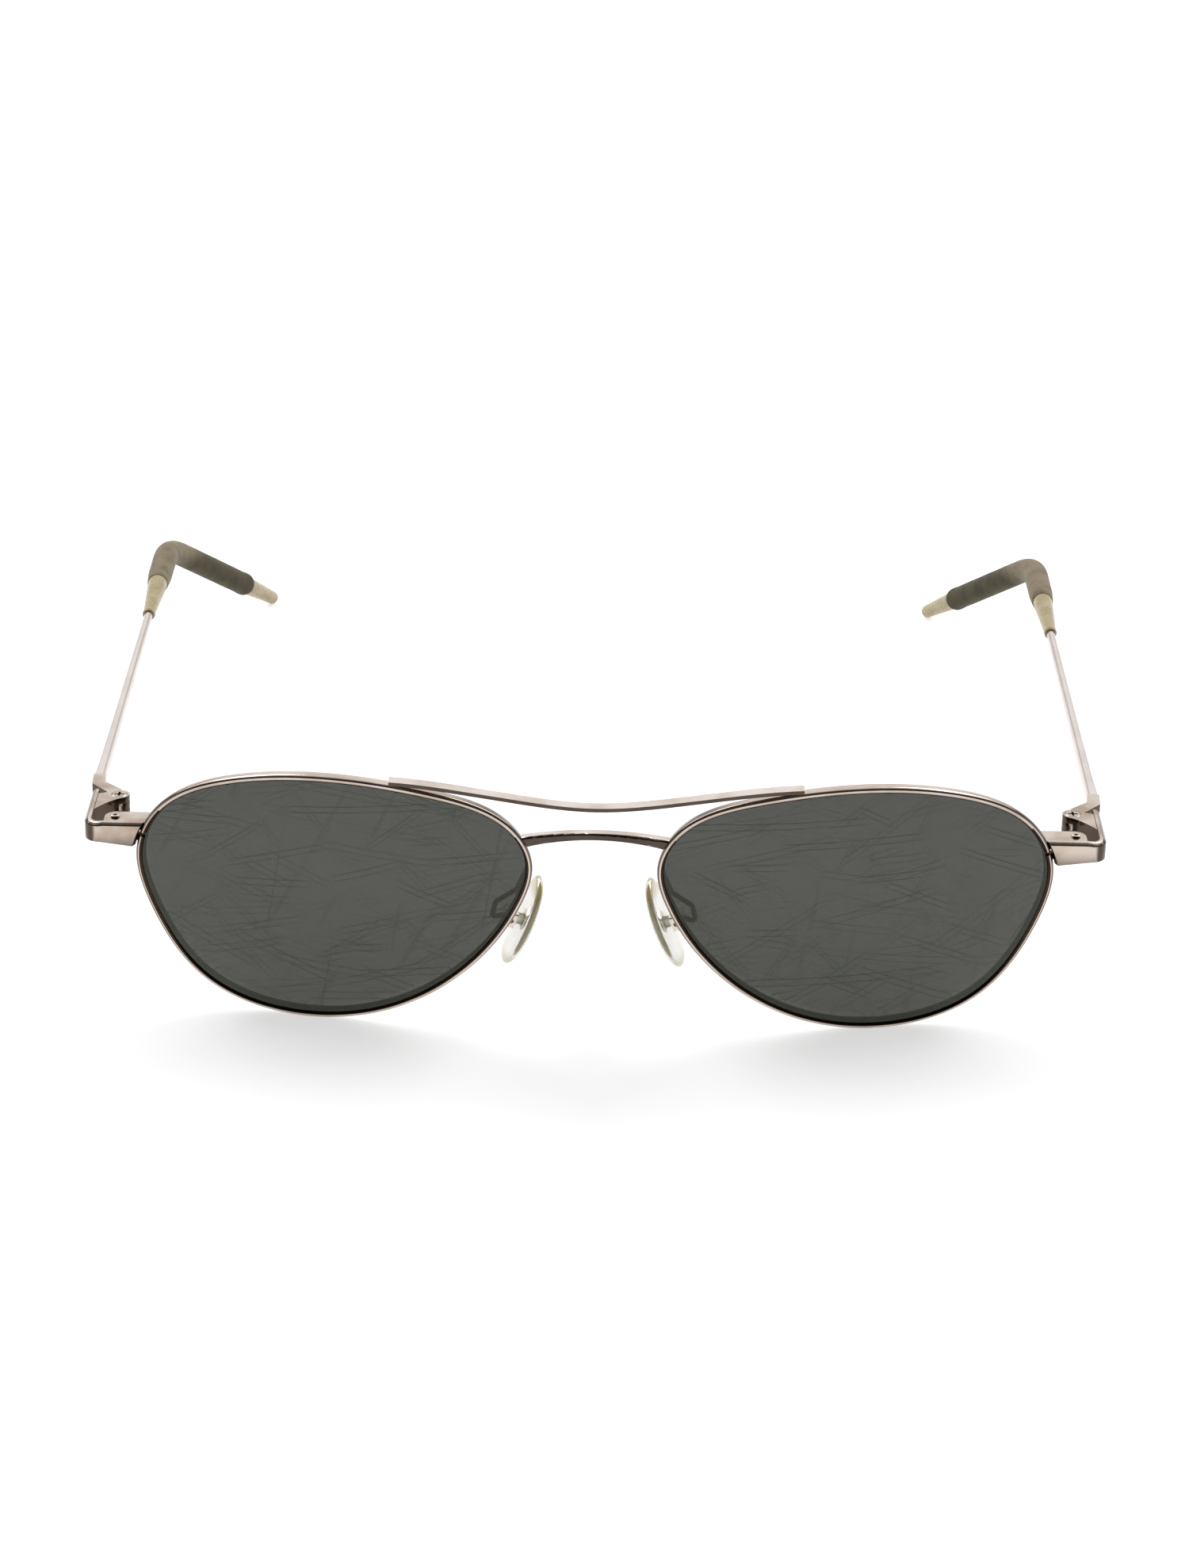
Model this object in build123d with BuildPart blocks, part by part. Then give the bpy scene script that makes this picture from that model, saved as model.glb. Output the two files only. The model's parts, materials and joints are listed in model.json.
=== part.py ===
"""Aviator sunglasses: a wire front with two rims, a bridge and a brow bar, and two folding temples.

Millimetres. The model is drawn in the hinge frame, midway between the two hinge axes: +X is the
wearer's left, +Y runs back along the temples and +Z is up along the hinge axes. Each piece is drawn
for the wearer's left, mirrored for the right, and at the end the open glasses are stood on a table.
"""
from build123d import *
import os
from math import asin, atan2, cos, degrees, hypot, radians, sin

# ---- driving dimensions ------------------------------------------------------------------------
HINGE_X = 66.15            # hinge axis from the middle of the face
PANTO = 8                  # the front leans this many degrees against the temples
HINGE_BACK = 16.6          # hinge axis behind the front's own plane
HINGE_UP = 5.7             # hinge middle above the rims' middle

LENS_X = 35.7              # middle of one lens from the middle of the face
WRAP = 6                   # each lens turns back this many degrees towards its temple
BASE_CURVE = 88            # radius of the lens front
LENS_THICK = 1.8
TONGUE_THICK = 0.9         # lens edge that sits in the rim's groove
TONGUE_BACK = 0.1          # its front, behind the lens front
TONGUE_DEEP = 0.45
RIM_WIDTH = 1.0
RIM_DEPTH = 1.9
RIM_PROUD = 0.4            # rim front ahead of the lens front
SLACK = 0.05               # room between the lens and its rim
SPLIT = 0.12               # saw cut through the rim, between the closing blocks
SPLIT_AT = (-3.5, -8.5)    # its middle, from the hinge axis
SPLIT_LONG, SPLIT_DEEP = 4, 8
CONE_AHEAD, CONE_BEHIND = -10, 24     # how far the eye shape is drawn either side of the lens
CUT_AHEAD, CUT_BEHIND = 4, -14        # a cutter of the eye shape clears everything near the rim

# Eye shape: the rim's outer edge, clockwise from the top, temple side first.
EYE_POINTS = [
    (1.0, 20.15), (15.0, 18.3), (25.7, 12.4), (29.4, 4.4), (27.3, -4.5), (18.6, -16.6), (5.0, -20.3),
    (-9.5, -17.0), (-20.2, -9.0), (-26.7, 0.5), (-28.35, 7.0), (-25.5, 13.0), (-14.0, 18.4),
]

BRIDGE_HALF = 10.2         # reaches into the rims, which trim it
BRIDGE_TOP = (12.05, 11.05)      # height of the top edge, middle and end
BRIDGE_BOTTOM = (10.9, 9.35)
BRIDGE_FRONT, BRIDGE_DEPTH = 1.05, 1.4
BRIDGE_ROUND = 0.35

BROW_POINTS = [(0, 15.65), (10.8, 16.75), (19.0, 18.1), (27.9, 19.15)]    # lower edge
BROW_THICK = 0.58
BROW_FRONT, BROW_DEPTH = 0.8, 1.5

STRIP = 0.95               # thickness of the endpiece strip
PLATE_FRONT = -10.1        # front face of the endpiece, from the hinge axis
SIDE_X = 3.85              # outer face of the endpiece, from the hinge axis
STRIP_REAR = 1.8
BEND_OUTSIDE = 2.2
STRIP_HALF = 1.4           # half its height along the side
PLATE_TOP = 1.5
PLATE_DROP = 2.3           # depth of the front plate below the hinge middle, at the rim
PLATE_BEVEL = 0.4
PLATE_BACK = PLATE_FRONT + STRIP
RIM_SIDE = -6.5            # well inside the rim, which trims what reaches it
# Side view of the endpiece: tall where it meets the rim, stepping down to the strip behind the bend.
PLATE_OUTLINE = [
    (RIM_SIDE, PLATE_TOP), (1.2, PLATE_TOP), (2.2, STRIP_HALF), (SIDE_X + 1, STRIP_HALF),
    (SIDE_X + 1, -STRIP_HALF), (1.7, -STRIP_HALF), (RIM_SIDE, -PLATE_DROP - 0.15),
]

BLOCK_END, BLOCK_BACK = 1.15, -6.0
BLOCK_HALF = 1.45
BLOCK_ROUND = 1.6
CLOSING_SCREW = (-0.3, -7.7)
CLOSING_HEAD, CLOSING_HEAD_TALL, CLOSING_SHANK = 0.635, 0.3, 0.4
CLOSING_ROUND = 0.12
SOCKET, SOCKET_DEEP = 0.27, 0.2
CUT_OVER = 0.1             # how far a recess is cut past the face it opens through
MARGIN = 1                 # how far a rough shape runs past the outline that trims it

BARREL = 1.45              # hinge barrel radius
STACK_HALF = 1.45          # half the height of the three barrels
MIDDLE_HALF = 0.55         # half the height of the temple's barrel
BARREL_GAP = 0.025
SWING_GAP = 0.17           # room round a barrel for the leaf that turns past it
PIN = 0.55
PIN_HEAD, PIN_HEAD_TALL = 1.05, 0.4
PIN_BEVEL = 0.06
CROSS_LONG, CROSS_WIDE, CROSS_DEEP = 1.35, 0.32, 0.22
LEAF_LEAD = [(SIDE_X - STRIP, -5.2), (1.9, -3.75), (0.8, -2.4), (-0.7, 0.2 - BARREL)]
LEAF_REAR = [(0, 0), (0.7, 1.0), (SIDE_X - STRIP, 0.1)]
RUNNING = 0.03             # radial clearance of what turns on a screw
STATIC = 0.02              # radial clearance of what a screw only holds

TEMPLE_X = 3.6             # temple's centre line, outside the hinge axis
TEMPLE_HALF = 1.2          # half the height of the temple's hinge block
BLOCK_REAR = 7.5
WIRE_SECTIONS = [(BLOCK_REAR, 1.65, 2.4), (14, 1.45, 2.1), (30, 1.35, 1.8), (68, 1.3, 1.3)]
WIRE_ROUND = 0.44          # corner radius, as a share of the bar's width
# Plan of the mitred block, and of the arm that joins it to its barrel.
TEMPLE_BLOCK = [
    (1.0, 0.3), (4.25, 4.1), (TEMPLE_X + WIRE_SECTIONS[0][1] / 2, BLOCK_REAR),
    (TEMPLE_X - WIRE_SECTIONS[0][1] / 2, BLOCK_REAR), (2.5, 4.8), (0.0, 2.35), (0.0, 0.3),
]
BARREL_ARM = [(0.9, 0.2), (2.2, 2.2), (1.0, 3.0), (-0.6, 1.3)]
WIRE = 0.65                # radius of the round wire at the rear
BEND_AT = 101.8            # where the straight and the drop would meet, from the hinge axis
BEND_RADIUS = 14
DROP = Vector(-14.3, 33.0, -21.0)     # from there to the tip's end
TIP_START, TIP_FULL, SLEEVE_START = 72.0, 85.2, 85.7
TIP_THIN, TIP_THICK, TIP_END = 0.9, 1.5, 1.1
CORE_SHORT = 8             # the wire core stops this far before the tip's end
CORE_SLACK = 0.01
SLEEVE_END = 29.7          # along the drop, from the corner
SLEEVE_FRONT, SLEEVE = 1.65, 1.9
SLEEVE_TAPER, SLEEVE_ROUND = 3.5, 0.3

PAD_AT = (9.75, 8.5, -6.85)
PAD_LEAN = 21              # the pads open downwards by this many degrees
PAD_SPLAY = 8              # and backwards by this many
PAD_LONG, PAD_WIDE, PAD_THICK = 14.4, 7.4, 1.9
PAD_PIVOT = 1.95           # rocking screw, outside the pad's middle
PAD_PIN = 0.35
PAD_ROUND = 0.8
INSERT_LONG, INSERT_WIDE, INSERT_THICK, INSERT_ROUND = 9.0, 3.2, 0.6, 0.8
TAB_LONG, TAB_WIDE, TAB_ROUND = 1.1, 1.2, 0.55
BOX_NEAR, BOX_FAR = 1.25, 3.0         # the pad box, outside the pad's middle
BOX_SIZE, BOX_ROUND = 2.4, 0.3
BOX_INSIDE = (1.6, 1.3, 1.4)          # height, width and depth of its hollow
ARM_END = 0.15             # the arm's wire stops this far inside the back of the box
PAD_SCREW_LONG, PAD_HEAD, PAD_HEAD_TALL = 2.6, 0.6, 0.25
PAD_SLOT = 0.2
ARM = 0.35                 # radius of the pad arm's wire
ARM_POINTS = [(9.1, 2.95, 5.0), (9.2, 4.5, 4.5), (10.6, 6.0, -0.2), (13.6, 7.0, -3.0)]
ARM_LOOP = (4.4, 0, -0.9)  # lowest turn of the arm, from the pad's middle
ARM_BENDS = (0.8, 1.6, 1.2, 0.55)

# ---- frames ------------------------------------------------------------------------------------
LEAN = radians(PANTO)
FRONT = Location(
    (0, HINGE_UP * sin(LEAN) - HINGE_BACK * cos(LEAN), -HINGE_BACK * sin(LEAN) - HINGE_UP * cos(LEAN)),
    (PANTO, 0, 0),
)
LENS = FRONT * Location((LENS_X, 0, 0), (0, 0, WRAP))
PAD = FRONT * Location(PAD_AT, (0, -PAD_LEAN, 0)) * Location((0, 0, 0), (0, 0, -PAD_SPLAY))
HINGE = Location((HINGE_X, 0, 0))
FACING = Location((0, 0, 0), (90, 0, 0))       # turns a flat sketch upright, facing forwards

pieces = {}


def level(height):
    """The flat plane at a height above the hinge's middle, with its origin on the hinge axis."""
    return Plane(HINGE * Location((0, 0, height)))


def upright(frame, depth):
    """The plane that faces forwards, at a depth behind a frame's origin."""
    return Plane(frame * Location((0, depth, 0)) * FACING)


def keep_pair(piece, name):
    """Keep a left-hand piece and its mirror image."""
    with BuildPart() as other:
        mirror(piece.part, about=Plane.YZ)
    pieces[f"{name}_left"] = piece
    pieces[f"{name}_right"] = other


# ---- eye shape ---------------------------------------------------------------------------------
def eye_points(grow, depth):
    """The eye shape moved outwards, and drawn in towards the lens's centre of curvature."""
    scale = (BASE_CURVE - depth) / BASE_CURVE
    moved = []
    for index, (x, z) in enumerate(EYE_POINTS):
        before = Vector(*EYE_POINTS[index - 1])
        after = Vector(*EYE_POINTS[(index + 1) % len(EYE_POINTS)])
        along = (after - before).normalized()
        moved.append(((x - grow * along.Y) * scale, (z + grow * along.X) * scale))
    return moved


def dished(grow, front, back):
    """A plate of the eye shape between two spheres, given ahead of the lens's front surface."""
    with BuildPart() as plate:
        for depth in (CONE_AHEAD, CONE_BEHIND):
            with BuildSketch(upright(LENS, depth)):
                with BuildLine():
                    Spline(eye_points(grow, depth), periodic=True)
                make_face()
        loft(ruled=True)
        with Locations(LENS * Location((0, BASE_CURVE, 0))):
            Sphere(BASE_CURVE + front, mode=Mode.INTERSECT)
            Sphere(BASE_CURVE + back, mode=Mode.SUBTRACT)
    return plate.part


eye_opening = dished(0, CUT_AHEAD, CUT_BEHIND)

with BuildPart() as rim:
    add(dished(0, RIM_PROUD, RIM_PROUD - RIM_DEPTH))
    add(dished(-RIM_WIDTH, CUT_AHEAD, CUT_BEHIND), mode=Mode.SUBTRACT)
    groove_back = -TONGUE_BACK - TONGUE_THICK - SLACK
    add(dished(-RIM_WIDTH + TONGUE_DEEP + SLACK, SLACK - TONGUE_BACK, groove_back), mode=Mode.SUBTRACT)
    with Locations(HINGE * Location((*SPLIT_AT, 0))):
        Box(SPLIT_LONG, SPLIT_DEEP, SPLIT, mode=Mode.SUBTRACT)
keep_pair(rim, "rim")

with BuildPart() as lens:
    add(dished(-RIM_WIDTH - SLACK, 0, -LENS_THICK))
    add(dished(-RIM_WIDTH + TONGUE_DEEP, -TONGUE_BACK, -TONGUE_BACK - TONGUE_THICK))
keep_pair(lens, "lens")

# ---- bridge and brow bar -----------------------------------------------------------------------
with BuildPart() as bridge:
    with BuildSketch(upright(FRONT, BRIDGE_FRONT)):
        with BuildLine():
            top = ThreePointArc(
                (-BRIDGE_HALF, BRIDGE_TOP[1]), (0, BRIDGE_TOP[0]), (BRIDGE_HALF, BRIDGE_TOP[1])
            )
            low = ThreePointArc(
                (-BRIDGE_HALF, BRIDGE_BOTTOM[1]), (0, BRIDGE_BOTTOM[0]), (BRIDGE_HALF, BRIDGE_BOTTOM[1])
            )
            Line(top @ 0, low @ 0)
            Line(top @ 1, low @ 1)
        make_face()
    extrude(amount=-BRIDGE_DEPTH)
    long_edges = bridge.edges().filter_by(GeomType.CIRCLE)
    fillet(long_edges, BRIDGE_ROUND)
    add(eye_opening, mode=Mode.SUBTRACT)
    mirror(eye_opening, about=Plane.YZ, mode=Mode.SUBTRACT)
pieces["bridge"] = bridge

with BuildPart() as brow_bar:
    with BuildSketch(upright(FRONT, BROW_FRONT)):
        with BuildLine():
            half = BROW_POINTS[1:]
            lower = Spline([(-x, z) for x, z in reversed(half)] + BROW_POINTS[:1] + half)
            upper = Spline(
                [(-x, z + BROW_THICK) for x, z in reversed(half)]
                + [(0, BROW_POINTS[0][1] + BROW_THICK)]
                + [(x, z + BROW_THICK) for x, z in half]
            )
            Line(lower @ 0, upper @ 0)
            Line(lower @ 1, upper @ 1)
        make_face()
    extrude(amount=-BROW_DEPTH)
    add(eye_opening, mode=Mode.SUBTRACT)
    mirror(eye_opening, about=Plane.YZ, mode=Mode.SUBTRACT)
pieces["brow_bar"] = brow_bar

# ---- endpiece and the blocks that close the rim ------------------------------------------------
with BuildPart() as endpiece:
    with BuildSketch(level(-PLATE_DROP - MARGIN)):
        with BuildLine():
            outside = FilletPolyline(
                (RIM_SIDE, PLATE_FRONT), (SIDE_X, PLATE_FRONT), (SIDE_X, STRIP_REAR), radius=BEND_OUTSIDE
            )
            inside = FilletPolyline(
                (RIM_SIDE, PLATE_BACK), (SIDE_X - STRIP, PLATE_BACK), (SIDE_X - STRIP, STRIP_REAR),
                radius=BEND_OUTSIDE - STRIP,
            )
            Line(outside @ 0, inside @ 0)
            Line(outside @ 1, inside @ 1)
        make_face()
    extrude(amount=2 * (PLATE_DROP + MARGIN))
    with BuildSketch(upright(HINGE, PLATE_FRONT - MARGIN)):
        with BuildLine():
            Polyline(*PLATE_OUTLINE, close=True)
        make_face()
    extrude(amount=PLATE_FRONT - STRIP_REAR - 2 * MARGIN, mode=Mode.INTERSECT)
    front_face = endpiece.faces().filter_by(Axis.Y).sort_by(Axis.Y)[0]
    top_edge = front_face.edges().sort_by(Axis.Z)[-1]
    chamfer(top_edge, PLATE_BEVEL)
    add(eye_opening, mode=Mode.SUBTRACT)
keep_pair(endpiece, "endpiece")


def closing_block(bottom, top, hole):
    """One half of the block that closes the rim, with a rounded outer end."""
    with BuildPart() as block:
        with BuildSketch(level(bottom)) as plan:
            with BuildLine():
                Polyline(
                    (RIM_SIDE, PLATE_BACK), (BLOCK_END, PLATE_BACK), (BLOCK_END, BLOCK_BACK),
                    (RIM_SIDE, BLOCK_BACK), close=True,
                )
            make_face()
            fillet(plan.vertices().sort_by(Axis.Y)[-2:].sort_by(Axis.X)[-1], BLOCK_ROUND)
            with Locations(CLOSING_SCREW):
                Circle(hole, mode=Mode.SUBTRACT)
        extrude(amount=top - bottom)
        add(eye_opening, mode=Mode.SUBTRACT)
    return block


keep_pair(closing_block(SPLIT / 2, BLOCK_HALF, CLOSING_SHANK + 2 * STATIC), "closing_block_upper")
keep_pair(closing_block(-BLOCK_HALF, -SPLIT / 2, CLOSING_SHANK + STATIC), "closing_block_lower")

with BuildPart() as closing_screw:
    with BuildSketch(level(-BLOCK_HALF)):
        with Locations(CLOSING_SCREW):
            Circle(CLOSING_SHANK)
    extrude(amount=2 * BLOCK_HALF)
    with BuildSketch(level(BLOCK_HALF)):
        with Locations(CLOSING_SCREW):
            Circle(CLOSING_HEAD)
    extrude(amount=CLOSING_HEAD_TALL)
    fillet(closing_screw.edges().group_by(Axis.Z)[-1], CLOSING_ROUND)
    with BuildSketch(level(BLOCK_HALF + CLOSING_HEAD_TALL - SOCKET_DEEP)):
        with Locations(CLOSING_SCREW):
            RegularPolygon(SOCKET, 6)
    extrude(amount=SOCKET_DEEP + CUT_OVER, mode=Mode.SUBTRACT)
keep_pair(closing_screw, "closing_screw")

# ---- hinge -------------------------------------------------------------------------------------
with BuildPart() as hinge_leaf_front:
    with BuildSketch(level(-STACK_HALF)):
        Circle(BARREL)
        with BuildLine():
            Spline(LEAF_LEAD)
            Polyline(LEAF_LEAD[-1], *LEAF_REAR, LEAF_LEAD[0])
        make_face()
    extrude(amount=2 * STACK_HALF)
    with BuildSketch(level(-MIDDLE_HALF - BARREL_GAP)):
        Circle(BARREL + SWING_GAP)
    extrude(amount=2 * (MIDDLE_HALF + BARREL_GAP), mode=Mode.SUBTRACT)
    with Locations(level(STACK_HALF)):
        CounterBoreHole(PIN + STATIC, PIN_HEAD + STATIC, PIN_HEAD_TALL)
keep_pair(hinge_leaf_front, "hinge_leaf_front")

with BuildPart() as hinge_leaf_temple:
    with BuildSketch(level(-TEMPLE_HALF)):
        with BuildLine():
            Polyline(*TEMPLE_BLOCK, close=True)
        make_face()
        Circle(BARREL + 2 * SWING_GAP, mode=Mode.SUBTRACT)
    extrude(amount=2 * TEMPLE_HALF)
    with BuildSketch(level(-MIDDLE_HALF)):
        Circle(BARREL)
        with BuildLine():
            Polyline(*BARREL_ARM, close=True)
        make_face()
    extrude(amount=2 * MIDDLE_HALF)
    with Locations(level(MIDDLE_HALF)):
        Hole(PIN + RUNNING)
keep_pair(hinge_leaf_temple, "hinge_leaf_temple")

with BuildPart() as hinge_screw:
    with BuildSketch(level(-STACK_HALF)):
        Circle(PIN)
    extrude(amount=2 * STACK_HALF)
    with BuildSketch(level(STACK_HALF - PIN_HEAD_TALL)):
        Circle(PIN_HEAD)
    extrude(amount=PIN_HEAD_TALL)
    chamfer(hinge_screw.edges().group_by(Axis.Z)[-1], PIN_BEVEL)
    with BuildSketch(level(STACK_HALF - CROSS_DEEP)):
        Rectangle(CROSS_LONG, CROSS_WIDE)
        Rectangle(CROSS_WIDE, CROSS_LONG)
    extrude(amount=CROSS_DEEP + CUT_OVER, mode=Mode.SUBTRACT)
keep_pair(hinge_screw, "hinge_screw")

# ---- temple ------------------------------------------------------------------------------------
along_drop = DROP.normalized()
corner = Vector(HINGE_X + TEMPLE_X, BEND_AT, 0)
tip_end = corner + DROP


def across(distance):
    """The plane across the straight part of the temple, at a distance behind the hinge."""
    return upright(HINGE * Location((TEMPLE_X, 0, 0)), distance)


def across_drop(distance):
    """The plane across the drop, at a distance from the corner, facing the tip's end."""
    return Plane(corner + along_drop * distance, z_dir=along_drop)


def sweep_round(radius, start, stop, mode=Mode.ADD):
    """Add a round bar on the temple's centre line, from behind the hinge to a place on the drop."""
    first = Vector(corner.X, start, 0)
    with BuildLine() as route:
        FilletPolyline(first, corner, corner + along_drop * stop, radius=BEND_RADIUS)
    with BuildSketch(across(start)) as section:
        Circle(radius)
    sweep(section.sketch, route.line, mode=mode)


with BuildPart() as temple_wire:
    for distance, wide, tall in WIRE_SECTIONS:
        with BuildSketch(across(distance)):
            RectangleRounded(wide, tall, WIRE_ROUND * wide)
    loft(ruled=True)
    sweep_round(WIRE, WIRE_SECTIONS[-1][0], DROP.length - CORE_SHORT)
keep_pair(temple_wire, "temple_wire")

with BuildPart() as temple_tip:
    for distance, radius in ((TIP_START, TIP_THIN), (TIP_FULL, TIP_THICK)):
        with BuildSketch(across(distance)):
            Circle(radius)
    loft(ruled=True)
    sweep_round(TIP_THICK, TIP_FULL, SLEEVE_END)
    for distance, radius in ((SLEEVE_END, TIP_THICK), (DROP.length - TIP_END, TIP_END)):
        with BuildSketch(across_drop(distance)):
            Circle(radius)
    loft(ruled=True)
    with Locations(across_drop(DROP.length - TIP_END).location):
        Sphere(TIP_END)
    sweep_round(WIRE + CORE_SLACK, TIP_START - MARGIN, DROP.length - CORE_SHORT, mode=Mode.SUBTRACT)
keep_pair(temple_tip, "temple_tip")

with BuildPart() as tip_sleeve:
    for distance, radius in ((SLEEVE_START, SLEEVE_FRONT), (SLEEVE_START + SLEEVE_TAPER, SLEEVE)):
        with BuildSketch(across(distance)):
            Circle(radius)
    loft(ruled=True)
    sweep_round(SLEEVE, SLEEVE_START + SLEEVE_TAPER, SLEEVE_END)
    fillet(tip_sleeve.edges().filter_by(GeomType.CIRCLE).sort_by(Axis.Y)[-1], SLEEVE_ROUND)
    sweep_round(TIP_THICK + CORE_SLACK, SLEEVE_START - MARGIN, SLEEVE_END + MARGIN, mode=Mode.SUBTRACT)
keep_pair(tip_sleeve, "tip_sleeve")

# ---- nose pads ---------------------------------------------------------------------------------
PAD_FACE = Location((0, 0, 0), (0, 90, 0))     # turns a flat sketch to face out from the nose


def beside(distance):
    """The plane along the pad, at a distance outside its middle."""
    return Plane(PAD * Location((distance, 0, 0)) * PAD_FACE)


def across_pad(out, sideways=0):
    """A place out from the pad's middle, turned so that a round bar there lies along the rocking axis."""
    return PAD * Location((out, sideways, 0), (90, 0, 0))


with BuildPart() as pad_insert:
    with BuildSketch(beside(-INSERT_THICK / 2)):
        RectangleRounded(INSERT_LONG, INSERT_WIDE, INSERT_ROUND)
    extrude(amount=INSERT_THICK)
    with BuildSketch(beside(INSERT_THICK / 2)):
        Rectangle(TAB_LONG, TAB_WIDE)
    extrude(amount=PAD_PIVOT - INSERT_THICK / 2)
    with Locations(across_pad(PAD_PIVOT)):
        Cylinder(TAB_ROUND, TAB_WIDE)
        Cylinder(PAD_PIN + RUNNING, 2 * TAB_WIDE, mode=Mode.SUBTRACT)
keep_pair(pad_insert, "pad_insert")

with BuildPart() as nose_pad:
    with BuildSketch(beside(-PAD_THICK / 2)):
        SlotOverall(PAD_LONG, PAD_WIDE)
    extrude(amount=PAD_THICK)
    fillet(nose_pad.edges(), PAD_ROUND)
    add(pad_insert.part, mode=Mode.SUBTRACT)
keep_pair(nose_pad, "nose_pad")

with BuildPart() as pad_box:
    with BuildSketch(beside(BOX_NEAR)):
        RectangleRounded(BOX_SIZE, BOX_SIZE, BOX_ROUND)
    extrude(amount=BOX_FAR - BOX_NEAR)
    with BuildSketch(beside(BOX_NEAR)):
        Rectangle(*BOX_INSIDE[:2])
    extrude(amount=BOX_INSIDE[2], mode=Mode.SUBTRACT)
    with Locations(across_pad(PAD_PIVOT)):
        Cylinder(PAD_PIN + STATIC, 2 * BOX_SIZE, mode=Mode.SUBTRACT)
keep_pair(pad_box, "pad_box")

HEAD_MIDDLE = (BOX_SIZE + PAD_HEAD_TALL) / 2

with BuildPart() as pad_screw:
    with Locations(across_pad(PAD_PIVOT, CUT_OVER)):
        Cylinder(PAD_PIN, PAD_SCREW_LONG)
    with Locations(across_pad(PAD_PIVOT, HEAD_MIDDLE)):
        Cylinder(PAD_HEAD, PAD_HEAD_TALL)
    with Locations(PAD * Location((PAD_PIVOT, HEAD_MIDDLE + PAD_HEAD_TALL / 2, 0))):
        Box(PAD_SLOT, PAD_SLOT, 2 * PAD_HEAD + PAD_SLOT, mode=Mode.SUBTRACT)
keep_pair(pad_screw, "pad_screw")

with BuildPart() as pad_arm:
    box_back = PAD * Location((BOX_FAR - ARM_END, 0, 0))
    stops = [FRONT * Location(point) for point in ARM_POINTS] + [PAD * Location(ARM_LOOP), box_back]
    with BuildLine() as route:
        FilletPolyline(*[stop.position for stop in stops], radius=ARM_BENDS)
    with BuildSketch(Plane(route.line @ 0, z_dir=route.line % 0)):
        Circle(ARM)
    sweep()
    add(rim.part, mode=Mode.SUBTRACT)
    add(pad_box.part, mode=Mode.SUBTRACT)
keep_pair(pad_arm, "pad_arm")

# ---- stand the open glasses on a table ---------------------------------------------------------
# They rest on the rims' lowest points and on the two tips, so the temples slope down to the back.
low_x, low_z = min(EYE_POINTS, key=lambda point: point[1])
reach = BASE_CURVE + RIM_PROUD
ray = Vector(low_x, -BASE_CURVE, low_z).normalized()
toe = (LENS * Location(Vector(0, BASE_CURVE, 0) + ray * reach)).position
heel = tip_end - along_drop * TIP_END
run, rise = heel.Y - toe.Y, heel.Z - toe.Z
tilt = degrees(asin(TIP_END / hypot(run, rise)) - atan2(rise, run))
tilted = Location((0, 0, 0), (tilt, 0, 0))

box = Compound([piece.part.moved(tilted) for piece in pieces.values()]).bounding_box()
table = Location((0, -box.center().Y, -box.min.Z)) * tilted

os.makedirs("parts", exist_ok=True)
for name, piece in pieces.items():
    piece.part.label = name
    export_step(piece.part.moved(table), f"parts/{name}.step")
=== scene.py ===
import bpy
import bmesh
import json
from math import asin, cos, hypot, pi, radians, sin
from mathutils import Matrix, Vector


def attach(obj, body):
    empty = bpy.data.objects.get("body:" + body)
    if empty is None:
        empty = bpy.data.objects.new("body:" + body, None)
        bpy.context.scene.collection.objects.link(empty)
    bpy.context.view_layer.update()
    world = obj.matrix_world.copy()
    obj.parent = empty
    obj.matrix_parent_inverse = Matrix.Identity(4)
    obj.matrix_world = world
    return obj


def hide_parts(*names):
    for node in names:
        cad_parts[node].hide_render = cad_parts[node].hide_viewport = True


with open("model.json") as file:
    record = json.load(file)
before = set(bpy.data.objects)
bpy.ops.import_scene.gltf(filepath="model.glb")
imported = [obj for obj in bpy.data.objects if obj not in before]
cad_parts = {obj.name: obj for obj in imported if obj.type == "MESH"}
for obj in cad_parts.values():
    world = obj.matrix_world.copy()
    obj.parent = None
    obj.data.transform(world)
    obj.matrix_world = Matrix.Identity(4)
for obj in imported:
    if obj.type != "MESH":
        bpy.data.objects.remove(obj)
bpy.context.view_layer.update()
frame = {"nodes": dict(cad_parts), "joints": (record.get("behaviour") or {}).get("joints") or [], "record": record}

MM = 0.001
SIDES = ("left", "right")
nodes = frame["nodes"]
joints = {joint["name"]: joint for joint in frame["joints"]}

# ---- the frames the CAD is drawn in, all in the row's own frame ---------------------------------
fold = joints["temple_left_fold"]
hinge_at = Vector(fold["pos_m"])
hinge_up = Vector(fold["axis"]).normalized()
tilt = Matrix.Rotation(-asin(hinge_up.y), 4, "X")
hinge_middle = Vector((0, hinge_at.y, hinge_at.z))
hinge_frame = Matrix.Translation(hinge_middle) @ tilt
HINGE_X = hinge_at.x
PANTO, HINGE_BACK, HINGE_UP = radians(8), 16.6 * MM, 5.7 * MM
front_at = Vector((
    0, HINGE_UP * sin(PANTO) - HINGE_BACK * cos(PANTO), -HINGE_BACK * sin(PANTO) - HINGE_UP * cos(PANTO),
))
front_frame = hinge_frame @ Matrix.Translation(front_at) @ Matrix.Rotation(PANTO, 4, "X")
LENS_X, WRAP, BASE_CURVE = 35.7 * MM, radians(6), 88 * MM
lens_frame = front_frame @ Matrix.Translation((LENS_X, 0, 0)) @ Matrix.Rotation(WRAP, 4, "Z")
PAD_AT, PAD_LEAN, PAD_SPLAY = Vector((9.75, 8.5, -6.85)) * MM, radians(21), radians(8)
pad_turn = Matrix.Rotation(-PAD_LEAN, 4, "Y") @ Matrix.Rotation(-PAD_SPLAY, 4, "Z")
pad_frame = front_frame @ Matrix.Translation(PAD_AT) @ pad_turn
TEMPLE_X, BEND_AT, BEND_RADIUS = 3.6, 101.8, 14.0       # outwards from the hinge, back to the bend, in mm
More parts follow.
